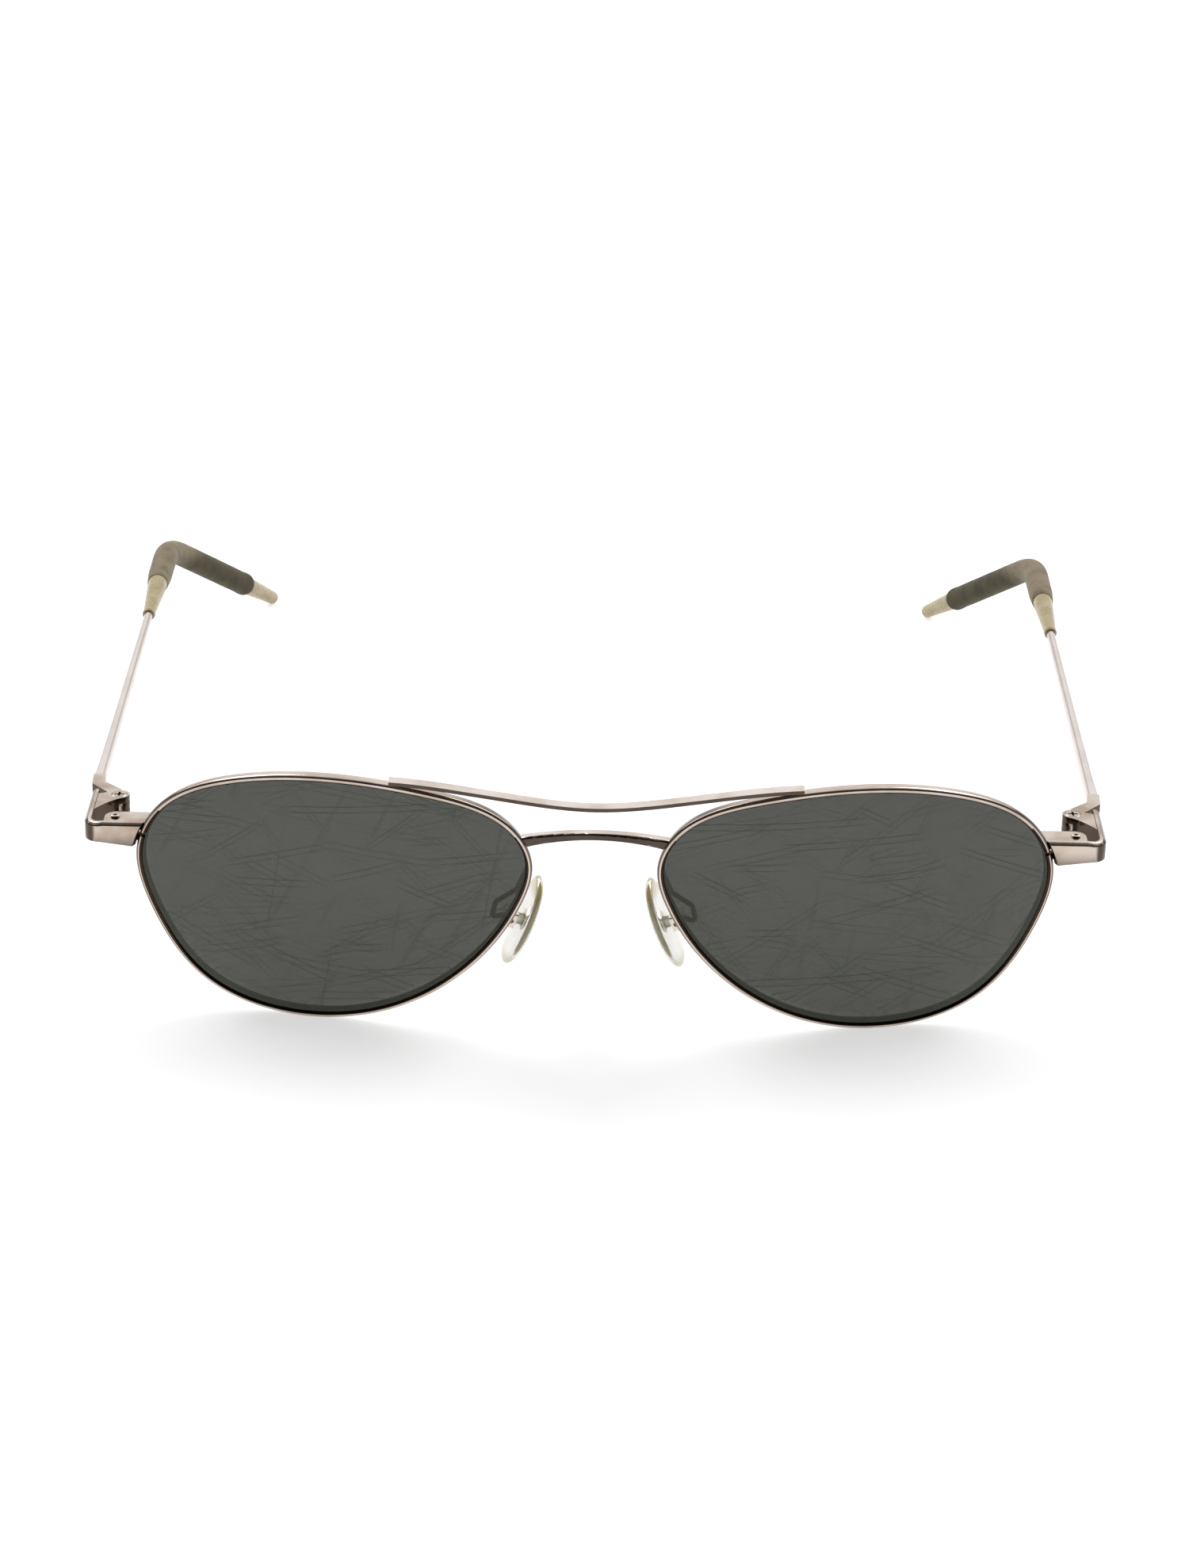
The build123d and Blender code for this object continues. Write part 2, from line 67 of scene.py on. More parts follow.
bend_height = (hinge_frame @ Vector((0, BEND_AT * MM, 0))).z

# ---- camera -------------------------------------------------------------------------------------
CAMERA_DOWN = radians(25.765)
CAMERA_ROLL = radians(1.2)
CAMERA_FAR = 581.7 * MM
CAMERA_RISE = 2.74 * MM
CAMERA_SIDE = -0.275 * MM
CAMERA_LENS, CAMERA_SENSOR = 96.28, 36
CLIP_NEAR, CLIP_FAR = 0.01, 20
BARREL_HALF = 1.45 * MM        # from the hinge's middle to the top of its screw, where the camera aims
ahead = Vector((0, cos(CAMERA_DOWN), -sin(CAMERA_DOWN)))
above = Vector((0, sin(CAMERA_DOWN), cos(CAMERA_DOWN)))
across = Vector((1, 0, 0))
right = across * cos(CAMERA_ROLL) + above * sin(CAMERA_ROLL)
top = above * cos(CAMERA_ROLL) - across * sin(CAMERA_ROLL)
aim = hinge_middle + hinge_up * BARREL_HALF + above * CAMERA_RISE + across * CAMERA_SIDE
turn = Matrix((right, top, -ahead)).transposed().to_4x4()
camera = bpy.data.objects.new("camera", bpy.data.cameras.new("camera"))
camera.data.lens = CAMERA_LENS
camera.data.sensor_width = CAMERA_SENSOR
camera.data.clip_start, camera.data.clip_end = CLIP_NEAR, CLIP_FAR
camera.matrix_world = Matrix.Translation(aim - ahead * CAMERA_FAR) @ turn
bpy.context.scene.collection.objects.link(camera)
bpy.context.scene.camera = camera


# ---- light and floor ----------------------------------------------------------------------------
# Two softboxes, behind and to the sides: overhead it stays darker than the floor, so that flat metal
# facing upwards still shows against it from above.
SOFTBOX_AT, SOFTBOX_WIDE, SOFTBOX_POWER = Vector((0.8, 0.55, 0.9)), 0.9, 10.4
for side, flip in (("left", 1), ("right", -1)):
    light = bpy.data.objects.new(f"softbox_{side}", bpy.data.lights.new(f"softbox_{side}", "AREA"))
    light.data.shape = "RECTANGLE"
    light.data.size = light.data.size_y = SOFTBOX_WIDE
    light.data.energy = SOFTBOX_POWER
    light.location = (flip * SOFTBOX_AT.x, SOFTBOX_AT.y, SOFTBOX_AT.z)
    light.rotation_euler = (-light.location).to_track_quat("-Z", "Y").to_euler()
    bpy.context.scene.collection.objects.link(light)

# The room goes from dark on the camera's side to bright behind the glasses, by the direction looked in.
ROOM_FROM, ROOM_TO = -0.45, 0.25
ROOM_DARK, ROOM_BRIGHT = 0.04, 0.86
world = bpy.data.worlds.new("studio")
bpy.context.scene.world = world
world.use_nodes = True
tree = world.node_tree
where = tree.nodes.new("ShaderNodeTexCoord")
split = tree.nodes.new("ShaderNodeSeparateXYZ")
fade = tree.nodes.new("ShaderNodeMapRange")
tree.links.new(where.outputs["Generated"], split.inputs[0])
tree.links.new(split.outputs["Y"], fade.inputs["Value"])
fade.inputs["From Min"].default_value = ROOM_FROM
fade.inputs["From Max"].default_value = ROOM_TO
fade.inputs["To Min"].default_value = ROOM_DARK
fade.inputs["To Max"].default_value = ROOM_BRIGHT
tree.links.new(fade.outputs["Result"], tree.nodes["Background"].inputs["Strength"])
tree.nodes["Background"].inputs["Color"].default_value = (1, 1, 1, 1)

bpy.context.scene.view_settings.view_transform = "Standard"
bpy.context.scene.view_settings.look = "None"


# ---- node helpers -------------------------------------------------------------------------------
class Nodes:
    """A material being wired up, with its colour worked out on the object in millimetres."""

    def __init__(self, name):
        self.material = bpy.data.materials.new(name)
        self.material.use_nodes = True
        self.tree = self.material.node_tree
        self.shader = self.tree.nodes["Principled BSDF"]
        self.coordinates = self.tree.nodes.new("ShaderNodeTexCoord")

    def plug(self, value, socket):
        if isinstance(value, bpy.types.NodeSocket):
            self.tree.links.new(value, socket)
        else:
            socket.default_value = value

    def place(self, scale, rotation=(0, 0, 0), offset=(0, 0, 0)):
        """Object coordinates, turned first and then stretched, in cells per millimetre."""
        spin = self.tree.nodes.new("ShaderNodeMapping")
        self.tree.links.new(self.coordinates.outputs["Object"], spin.inputs["Vector"])
        spin.inputs["Rotation"].default_value = rotation
        node = self.tree.nodes.new("ShaderNodeMapping")
        self.tree.links.new(spin.outputs[0], node.inputs["Vector"])
        node.inputs["Scale"].default_value = [s / MM for s in scale]
        node.inputs["Location"].default_value = offset
        return node.outputs[0]

    def even(self, cells):
        """Object coordinates in the same number of cells per millimetre every way."""
        return self.place((cells, cells, cells))

    def noise(self, vector, scale=1.0, detail=3.0, rough=0.55):
        node = self.tree.nodes.new("ShaderNodeTexNoise")
        self.plug(vector, node.inputs["Vector"])
        node.inputs["Scale"].default_value = scale
        node.inputs["Detail"].default_value = detail
        node.inputs["Roughness"].default_value = rough
        return node.outputs["Fac"]

    def stripes(self, value):
        """Distance to the nearest of a set of unevenly spaced straight lines, in cells."""
        node = self.tree.nodes.new("ShaderNodeTexVoronoi")
        node.voronoi_dimensions = "1D"
        node.feature = "DISTANCE_TO_EDGE"
        self.plug(value, node.inputs["W"])
        node.inputs["Scale"].default_value = 1.0
        return node.outputs["Distance"]

    def ramp(self, value, low, high, start=0.0, end=1.0):
        node = self.tree.nodes.new("ShaderNodeMapRange")
        node.interpolation_type = "SMOOTHSTEP"
        self.plug(value, node.inputs["Value"])
        node.inputs["From Min"].default_value = low
        node.inputs["From Max"].default_value = high
        node.inputs["To Min"].default_value = start
        node.inputs["To Max"].default_value = end
        return node.outputs["Result"]

    def math(self, operation, a, b=0.0):
        node = self.tree.nodes.new("ShaderNodeMath")
        node.operation = operation
        self.plug(a, node.inputs[0])
        self.plug(b, node.inputs[1])
        return node.outputs[0]

    def mix(self, share, a, b):
        node = self.tree.nodes.new("ShaderNodeMix")
        node.data_type = "RGBA"
        self.plug(share, node.inputs["Factor"])
        self.plug(a, node.inputs[6])
        self.plug(b, node.inputs[7])
        return node.outputs[2]

    def band(self, value, rise_from, rise_to, fall_from, fall_to):
        """1 between two ramps and 0 outside them."""
        rise, fall = self.ramp(value, rise_from, rise_to), self.ramp(value, fall_to, fall_from)
        return self.math("MULTIPLY", rise, fall)

    def component(self, vector, axis):
        node = self.tree.nodes.new("ShaderNodeSeparateXYZ")
        self.plug(vector, node.inputs[0])
        return node.outputs[axis]

    def facing(self, axis):
        return self.component(self.coordinates.outputs["Normal"], axis)

    def along(self, axis):
        """Where a point is along one of the row's axes, in metres."""
        return self.component(self.coordinates.outputs["Object"], axis)

    def bump(self, height, distance, strength=1.0):
        node = self.tree.nodes.new("ShaderNodeBump")
        self.plug(height, node.inputs["Height"])
        node.inputs["Distance"].default_value = distance
        node.inputs["Strength"].default_value = strength
        self.tree.links.new(node.outputs[0], self.shader.inputs["Normal"])

    def set(self, **values):
        for name, value in values.items():
            self.plug(value, self.shader.inputs[name.replace("_", " ")])
        return self.material


# ---- materials ----------------------------------------------------------------------------------
# The plating's colour, the brown of its worn patches and of painted shade, and the near-black of its specks and of
# painted shade.
CHAMPAGNE, BROWN_WEAR_AND_SHADE, SPECK_AND_SHADE_DARK = (0.80, 0.69, 0.60, 1), (0.50, 0.385, 0.30, 1), (0.045, 0.030, 0.022, 1)
# Heights above the hinge's middle between which the share of painted shade on faces ahead changes.
BEVEL_TOP, BEVEL_FOOT = 0.9 * MM, -2.3 * MM
SPECK_SHARE, DULLER = 0.55, 0.14
DRAWN_DEPTH = 0.0015 * MM


def plated_metal(name, light, brown, speck_and_shade, shine, forward_share=0.35, side_share=0.0, down_share=0.75,
                 low_more=0.0, patches=0.5):
    """Worn champagne plating in random brown patches with dark specks, and painted shade: faces turned ahead, down
    or sideways are darkened, standing in for shade and dark reflections.
    """
    m = Nodes(name)
    cloud = m.noise(m.even(0.16), 1.0, 3, 0.5)
    specks = m.noise(m.even(2.4), 1.3, 4, 0.6)
    # Painted shade and painted dark reflections: faces turned ahead (by a share that changes with height), down or
    # sideways are mixed towards the dark colour below.
    forward = m.ramp(m.facing("Y"), -0.35, -0.95)
    down = m.ramp(m.facing("Z"), -0.2, -0.9)
    sideways = m.ramp(m.math("ABSOLUTE", m.facing("X")), 0.14, 0.5)
    lower = m.ramp(
        m.along("Z"), hinge_at.z + BEVEL_TOP, hinge_at.z + BEVEL_FOOT,
        forward_share - low_more, forward_share + low_more,
    )
    turned = m.math("MAXIMUM", m.math("MULTIPLY", forward, lower), m.math("MULTIPLY", down, down_share))
    turned = m.math("MAXIMUM", turned, m.math("MULTIPLY", sideways, side_share))
    colour = m.mix(m.ramp(cloud, 0.38, 0.68, 0.0, patches), light, brown)
    colour = m.mix(turned, colour, speck_and_shade)
    colour = m.mix(m.ramp(specks, 0.66, 0.74, 0.0, SPECK_SHARE), colour, speck_and_shade)
    m.bump(m.noise(m.place((5, 0.6, 5)), 1.0, 2, 0.5), DRAWN_DEPTH, 0.3)
    return m.set(Base_Color=colour, Metallic=1.0, Roughness=m.ramp(specks, 0.35, 0.8, shine, shine + DULLER))


STEEL, WORN_STEEL, STEEL_SHADOW = (0.66, 0.59, 0.52, 1), (0.42, 0.34, 0.28, 1), (0.03, 0.022, 0.017, 1)
# Up the hinge's axis from its middle: where the cuts in a screw's head start, are deep, and end again, painted
# dark as their shadow.
HEAD_SLOT = [level * MM for level in (1.10, 1.14, 1.30, 1.34)]
HEAD_SOCKET = [level * MM for level in (1.50, 1.53, 1.60, 1.64)]


def slotted_steel(name):
    """Plated screws: light flat heads, painted shade on the sides, and painted shadow in the slots cut into them.
    """
    m = Nodes(name)
    specks = m.noise(m.even(2.4), 1.3, 4, 0.6)
    back = m.math("MULTIPLY", m.math("SUBTRACT", m.along("Y"), hinge_middle.y), hinge_up.y)
    rise = m.math("MULTIPLY", m.math("SUBTRACT", m.along("Z"), hinge_middle.z), hinge_up.z)
    level = m.math("ADD", back, rise)
    # Painted shade on faces not turned up.
    side = m.ramp(m.facing("Z"), 0.75, 0.35, 0.0, 0.85)
    dark = m.math("MAXIMUM", m.math("MAXIMUM", m.band(level, *HEAD_SLOT), m.band(level, *HEAD_SOCKET)), side)
    colour = m.mix(m.ramp(specks, 0.4, 0.7, 0.0, 0.6), STEEL, WORN_STEEL)
    colour = m.mix(dark, colour, STEEL_SHADOW)
    return m.set(Base_Color=colour, Metallic=1.0, Roughness=m.ramp(specks, 0.35, 0.8, 0.2, 0.2 + 0.16))


# Each layer of scratches: their angle in degrees, spacing and half width in mm, and strength.
SCRATCHES = (
    (4, 3.1, 0.11, 1.0), (17, 4.3, 0.11, 0.9), (-26, 3.9, 0.11, 0.9), (63, 5.9, 0.10, 0.7),
    (-9, 4.7, 0.09, 0.8), (38, 4.9, 0.10, 0.8), (-51, 5.3, 0.10, 0.7), (11, 3.7, 0.08, 0.7),
    (-38, 6.1, 0.09, 0.6), (81, 7.3, 0.09, 0.6), (27, 5.1, 0.08, 0.7), (-17, 4.1, 0.08, 0.6),
)
LENS_ALPHA, LENS_HAZE = 0.795, 0.002
SCRATCH_DARK = 0.15
LENS_BODY = (0.018, 0.024, 0.003, 1)
STROKE_CELLS = (0.06, 0.0, 0.4)      # cells per mm along and across a stroke, which set how long each is


def scratched_lens(name):
    """Grey-green tinted glass with a web of fine straight scratches that block some of the light."""
    m = Nodes(name)
    total = None
    for index, (angle, spacing, half_width, strength) in enumerate(SCRATCHES):
        turned = (0, radians(angle), 0)
        across = m.component(m.place((1 / spacing, 0.0, 1 / spacing), turned, (0, 0, index * 5.3)), "Z")
        line = m.ramp(m.stripes(across), half_width / spacing, 0.3 * half_width / spacing)
        stroke = m.place(STROKE_CELLS, turned, (index * 7.1, 0, index * 2.3))
        broken = m.ramp(m.noise(stroke, 1.0, 1), 0.50, 0.62)
        line = m.math("MULTIPLY", m.math("MULTIPLY", line, broken), strength)
        total = line if total is None else m.math("MAXIMUM", total, line)
    haze = m.noise(m.even(0.05), 1.0, 2, 0.5)
    even = m.ramp(haze, 0.3, 0.7, LENS_ALPHA - LENS_HAZE, LENS_ALPHA + LENS_HAZE)
    alpha = m.math("ADD", even, m.math("MULTIPLY", total, SCRATCH_DARK))
    rough = m.ramp(haze, 0.3, 0.7, 0.025, 0.035)
    return m.set(Base_Color=LENS_BODY, Metallic=0.0, IOR=1.52, Alpha=alpha, Roughness=rough)


def soft_plastic(name, base, stain, transmission, roughness, ior, bump):
    m = Nodes(name)
    cloud = m.noise(m.even(0.5), 1.0, 4, 0.6)
    grain = m.noise(m.even(6), 1.0, 3, 0.6)
    colour = m.mix(m.ramp(cloud, 0.35, 0.7), base, stain)
    m.bump(cloud, bump, 0.5)
    return m.set(Base_Color=colour, Metallic=0.0, Transmission_Weight=transmission, IOR=ior,
                 Roughness=m.ramp(grain, 0.3, 0.7, roughness, roughness + 0.12))


def clear_silicone(name):
    """Clear silicone gone yellow, most of all at the two ends of the pad."""
    m = Nodes(name)
    cloud = m.noise(m.even(0.5), 1.0, 4, 0.6)
    away = m.math("ABSOLUTE", m.math("SUBTRACT", m.along("Z"), pad_frame.translation.z))
    ends = m.ramp(away, 3.8 * MM, 6.0 * MM)
    colour = m.mix(m.ramp(cloud, 0.35, 0.7), (0.41, 0.38, 0.26, 1), (0.35, 0.31, 0.18, 1))
    colour = m.mix(ends, colour, (0.42, 0.34, 0.13, 1))
    m.bump(cloud, 0.02 * MM, 0.4)
    return m.set(
        Base_Color=colour, Metallic=0.0, Transmission_Weight=m.ramp(ends, 0.0, 1.0, 0.55, 0.30), IOR=1.41,
        Roughness=m.ramp(cloud, 0.3, 0.7, 0.08, 0.22),
    )


def stretched_rubber(name):
    """Old rubber: pale brown over the bend, darker olive-black lower down towards the end."""
    m = Nodes(name)
    cloud = m.noise(m.even(0.35), 1.0, 4, 0.6)
    grain = m.noise(m.even(5), 1.0, 3, 0.6)
    pale = m.mix(m.ramp(cloud, 0.35, 0.7), (0.215, 0.172, 0.110, 1), (0.140, 0.108, 0.066, 1))
    dark = m.mix(m.ramp(cloud, 0.35, 0.7), (0.060, 0.046, 0.015, 1), (0.032, 0.025, 0.008, 1))
    behind = m.ramp(m.along("Z"), bend_height - 0.5 * MM, bend_height - 5.5 * MM)
    m.bump(grain, 0.006 * MM, 0.4)
    return m.set(Base_Color=m.mix(behind, pale, dark), Metallic=0.0, IOR=1.38, Specular_IOR_Level=0.3,
                 Roughness=m.ramp(grain, 0.3, 0.7, 0.5, 0.62))


# Copies of the plating with different shares of painted shade. The brow's copy is also paler, a painted highlight
# on its top, and it paints the fronts of the brow bar and bridge almost wholly dark.
rim_metal = plated_metal(
    "rim_plating", CHAMPAGNE, BROWN_WEAR_AND_SHADE, SPECK_AND_SHADE_DARK,
    shine=0.09, forward_share=0.22, side_share=0.85, down_share=0.7,
)
brow_metal = plated_metal(
    "brow_plating", (0.92, 0.83, 0.76, 1), BROWN_WEAR_AND_SHADE, SPECK_AND_SHADE_DARK,
    shine=0.12, forward_share=0.95, side_share=0.3, down_share=0.95,
)
metal = plated_metal(
    "champagne_plating", CHAMPAGNE, BROWN_WEAR_AND_SHADE, SPECK_AND_SHADE_DARK,
    shine=0.10, forward_share=0.58, side_share=0.95, down_share=0.9, low_more=0.30, patches=1.0,
)
temple_metal = plated_metal(
    "temple_plating", (0.88, 0.81, 0.77, 1), (0.74, 0.66, 0.61, 1), (0.24, 0.18, 0.15, 1),
    shine=0.14, forward_share=0.3, side_share=0.45,
)
box_metal = plated_metal(
    "box_plating", (0.88, 0.82, 0.74, 1), CHAMPAGNE, BROWN_WEAR_AND_SHADE,
    shine=0.2, forward_share=0.2, side_share=0.2, down_share=0.4,
)
# Near-black all over: painted shade for the rim's faces towards the lens and for the pad arms.
painted_shade_metal = plated_metal("rim_lip_painted_shade", SPECK_AND_SHADE_DARK, (0.02, 0.015, 0.012, 1), SPECK_AND_SHADE_DARK, shine=0.16)
screw_metal = slotted_steel("screw_steel")
glass = scratched_lens("tinted_glass")
acetate = soft_plastic(
    "aged_acetate", (0.44, 0.36, 0.20, 1), (0.33, 0.26, 0.11, 1),
    transmission=0.12, roughness=0.24, ior=1.49, bump=0.002 * MM,
)
sleeve_rubber = stretched_rubber("olive_rubber")
silicone = clear_silicone("clear_silicone")
pad_core = soft_plastic(
    "clear_core", (0.93, 0.92, 0.84, 1), (0.88, 0.85, 0.70, 1),
    transmission=0.6, roughness=0.06, ior=1.50, bump=0.01 * MM,
)

MATERIAL_OF_SLOT = {
    "frame_metal": metal, "screw_metal": screw_metal, "lens": glass, "tip_acetate": acetate,
    "sleeve_rubber": sleeve_rubber, "pad_silicone": silicone, "pad_core": pad_core,
}
# The pad arms take the near-black painted shade. The bridge takes the brow's plating, with its painted-dark front.
MATERIAL_OF_KIND = {
    "temple_wire": temple_metal, "rim": rim_metal, "brow_bar": brow_metal, "bridge": brow_metal,
    "pad_arm": painted_shade_metal, "pad_box": box_metal,
}
slot_of_node = {part["node"]: part["material_slot"] for part in frame["record"]["subparts"]}
for name, node in nodes.items():
    kind = name.removesuffix("_left").removesuffix("_right")
    chosen = MATERIAL_OF_KIND.get(kind) or MATERIAL_OF_SLOT[slot_of_node[name]]
    node.data.materials.clear()
    node.data.materials.append(chosen)


# ---- mesh helpers -------------------------------------------------------------------------------
def make_pair(name, points, faces, material, body, replaced, matrix, sharp=40):
    """A left-hand piece and its mirror image, from points in a left-hand frame."""
    made = []
    for side, flip in (("left", 1), ("right", -1)):
        mesh = bpy.data.meshes.new(f"{name}_{side}")
        placed = [matrix @ Vector(p) for p in points]
        placed = [Vector((flip * p.x, p.y, p.z)) for p in placed]
        turned = faces if flip > 0 else [tuple(reversed(f)) for f in faces]
        mesh.from_pydata(placed, [], turned)
        mesh.validate()
        mesh.shade_smooth()
        mesh.set_sharp_from_angle(angle=radians(sharp))
        piece = bpy.data.objects.new(f"{name}_{side}", mesh)
        bpy.context.scene.collection.objects.link(piece)
        mesh.materials.append(material)
        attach(piece, body if body == "front" else f"{body}_{side}")
        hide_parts(f"{replaced}_{side}")
        made.append(piece)
    return made


def tube(rings, closed=False, capped=True):
    """Points and faces of a skin over rings of equally many points."""
    count = len(rings[0])
    points = [p for ring in rings for p in ring]
    faces = []
    spans = len(rings) if closed else len(rings) - 1
    for i in range(spans):
        a, b = i * count, ((i + 1) % len(rings)) * count
        for j in range(count):
            k = (j + 1) % count
            faces.append((a + j, a + k, b + k, b + j))
    if not closed and capped:
        faces.append(tuple(reversed(range(count))))
        faces.append(tuple((len(rings) - 1) * count + j for j in range(count)))
    return points, faces


# ---- eye shape ----------------------------------------------------------------------------------
# Points on the lens's outline from straight ahead, in mm outwards and upwards of its middle.
EYE = [
    (1.0, 20.15), (15.0, 18.3), (25.7, 12.4), (29.4, 4.4), (27.3, -4.5), (18.6, -16.6), (5.0, -20.3),
    (-9.5, -17.0), (-20.2, -9.0), (-26.7, 0.5), (-28.35, 7.0), (-25.5, 13.0), (-14.0, 18.4),
]
EYE_STEPS = 24


def closed_spline(points, steps):
    """A smooth closed curve through the points, with chord-length spacing."""
    n = len(points)
    ahead_of = [points[(i + 1) % n] for i in range(n)]
    chord = [hypot(ahead_of[i][0] - points[i][0], ahead_of[i][1] - points[i][1]) for i in range(n)]
    result = []
    slopes = []
    for axis in (0, 1):
        grid = [[0.0] * n for _ in range(n)]
        known = [0.0] * n
        for i in range(n):
            before, after = chord[i - 1], chord[i]
            grid[i][i - 1] += after
            grid[i][i] += 2 * (before + after)
            grid[i][(i + 1) % n] += before
            rise = (ahead_of[i][axis] - points[i][axis]) / after
            fall = (points[i][axis] - points[i - 1][axis]) / before
            known[i] = 3 * (before * rise + after * fall)
        slopes.append(solve(grid, known))
    for i in range(n):
        span = chord[i]
        for step in range(steps):
            u = step / steps
            a, b = 2 * u**3 - 3 * u**2 + 1, u**3 - 2 * u**2 + u
            c, d = 3 * u**2 - 2 * u**3, u**3 - u**2
            result.append(tuple(
                a * points[i][k] + b * span * slopes[k][i]
                + c * ahead_of[i][k] + d * span * slopes[k][(i + 1) % n]
                for k in (0, 1)
            ))
    return result


def solve(grid, known):
    """Gaussian elimination for a small set of equations."""
    n = len(known)
    rows = [row[:] + [value] for row, value in zip(grid, known)]
    for i in range(n):
        pivot = max(range(i, n), key=lambda r: abs(rows[r][i]))
        rows[i], rows[pivot] = rows[pivot], rows[i]
        for r in range(i + 1, n):
            share = rows[r][i] / rows[i][i]
            rows[r] = [x - share * y for x, y in zip(rows[r], rows[i])]
    found = [0.0] * n
    for i in reversed(range(n)):
        found[i] = (rows[i][n] - sum(rows[i][j] * found[j] for j in range(i + 1, n))) / rows[i][i]
    return found


def grown(grow):
    """The eye shape moved outwards in the lens's plane, in millimetres."""
    moved = []
    for i, (x, z) in enumerate(EYE):
        bx, bz = EYE[i - 1]
        ax, az = EYE[(i + 1) % len(EYE)]
        long = hypot(ax - bx, az - bz)
        moved.append((x - grow * (az - bz) / long, z + grow * (ax - bx) / long))
    return closed_spline(moved, EYE_STEPS)


def on_sphere(x, z, front):
    """Where the ray from the lens's centre of curvature through (x, z) meets a sphere."""
    ray = Vector((x * MM, -BASE_CURVE, z * MM)).normalized()
    return Vector((0, BASE_CURVE, 0)) + ray * (BASE_CURVE + front * MM)


# The rim's section: outwards from the eye shape, and forwards from the lens's front.
RIM_SECTION = [
    (0.0, -1.25), (0.0, -0.14), (-0.03, 0.05), (-0.12, 0.22), (-0.27, 0.34), (-0.46, 0.395),
    (-0.66, 0.36), (-0.84, 0.24), (-0.96, 0.08), (-1.0, -0.05), (-0.55, -0.05), (-0.55, -1.05),
    (-1.0, -1.05), (-0.96, -1.25), (-0.75, -1.44), (-0.45, -1.5), (-0.18, -1.44),
]
rim_outlines = {grow: grown(grow) for grow in sorted({g for g, _ in RIM_SECTION})}
samples = len(EYE) * EYE_STEPS


def rim_ring(index):
    return [on_sphere(*rim_outlines[g][index], f) for g, f in RIM_SECTION]


def off_the_cut(index):
    """How far a place on the rim is from the saw cut, which is level with the hinge on the outer side."""
    start = rim_ring(index)[0]
    return abs((hinge_frame.inverted() @ lens_frame @ start).z) + (0 if start.x > 0 else 1)


cut_index = min(range(samples), key=off_the_cut)
cut_order = [(cut_index + 1 + i) % samples for i in range(samples - 1)]
rim_points, rim_faces = tube([rim_ring(i) for i in cut_order])
rims = make_pair(
    "rim_crowned", rim_points, rim_faces, rim_metal, "front", "rim", lens_frame, sharp=38,
)
LIP_FROM, LIP_TO = 6, 8         # stretches of the section that face the lens, one fewer along the rim's top
RIM_TOP_FROM = 11 * MM
# The rim's faces towards the lens take the near-black material, a painted shadow along the lens's edge.
for piece in rims:
    piece.data.materials.append(painted_shade_metal)
    for polygon in piece.data.polygons:
        stretch = polygon.index % len(RIM_SECTION)
        x, y, z = polygon.center
        upper = (lens_frame.inverted() @ Vector((abs(x), y, z))).z > RIM_TOP_FROM
        if LIP_FROM + (1 if upper else 0) <= stretch <= LIP_TO and polygon.index < len(rim_faces) - 2:
            polygon.material_index = 1

# ---- lenses -------------------------------------------------------------------------------------
LENS_SHARE = [0.12, 0.3, 0.5, 0.7, 0.88, 1.0]
LENS_THICK, TONGUE_FRONT, TONGUE_BACK = 1.8, -0.1, -1.0
lens_edge, tongue_edge = grown(-1.05), grown(-0.55)


def lens_ring(edge, share, front):
    return [on_sphere(x * share, z * share, front) for x, z in edge]


front_rings = [lens_ring(lens_edge, share, 0.0) for share in LENS_SHARE]
back_rings = [lens_ring(lens_edge, share, -LENS_THICK) for share in LENS_SHARE]
edge_rings = [
    lens_ring(lens_edge, 1, TONGUE_FRONT), lens_ring(tongue_edge, 1, TONGUE_FRONT),
    lens_ring(tongue_edge, 1, TONGUE_BACK), lens_ring(lens_edge, 1, TONGUE_BACK),
]
lens_rings = front_rings + edge_rings + back_rings[::-1]
lens_points, lens_faces = tube(lens_rings, capped=False)
lens_points += [on_sphere(0, 0, 0.0), on_sphere(0, 0, -LENS_THICK)]
last_ring = (len(lens_rings) - 1) * samples
for j in range(samples):
    k = (j + 1) % samples
    lens_faces.append((len(lens_points) - 2, k, j))
    lens_faces.append((len(lens_points) - 1, last_ring + j, last_ring + k))
make_pair("lens_ground", lens_points, lens_faces, glass, "front", "lens", lens_frame, sharp=30)


# ---- edges rounded on the pieces that are cut from solid -----------------------------------------
WELD_FIRST, WELD_AFTER = 0.002 * MM, 0.001 * MM
FLAT_UNDER, EDGE_OVER, SHARP_OVER = radians(0.6), radians(32), radians(50)


def rounded(node, name, width, body, material):
    """The CAD node's shape with its sharp edges broken, as a piece that stands for it."""
    mesh = bpy.data.meshes.new(name)
    work = bmesh.new()
    work.from_mesh(nodes[node].data)
    bmesh.ops.remove_doubles(work, verts=work.verts, dist=WELD_FIRST)
    bmesh.ops.dissolve_limit(work, angle_limit=FLAT_UNDER, verts=work.verts, edges=work.edges)
    bmesh.ops.recalc_face_normals(work, faces=work.faces)
    sharp = [e for e in work.edges if len(e.link_faces) == 2 and e.calc_face_angle(0) > EDGE_OVER]
    bmesh.ops.bevel(
        work, geom=sharp, offset=width * MM, segments=2, profile=0.6, affect="EDGES", clamp_overlap=True,
    )
    bmesh.ops.remove_doubles(work, verts=work.verts, dist=WELD_AFTER)
    bmesh.ops.recalc_face_normals(work, faces=work.faces)
    work.to_mesh(mesh)
    work.free()
    mesh.shade_smooth()
    mesh.set_sharp_from_angle(angle=SHARP_OVER)
    mesh.materials.append(material)
    piece = bpy.data.objects.new(name, mesh)
    bpy.context.scene.collection.objects.link(piece)
    weighted = piece.modifiers.new("weighted", "WEIGHTED_NORMAL")
    weighted.keep_sharp = True
    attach(piece, body)
    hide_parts(node)


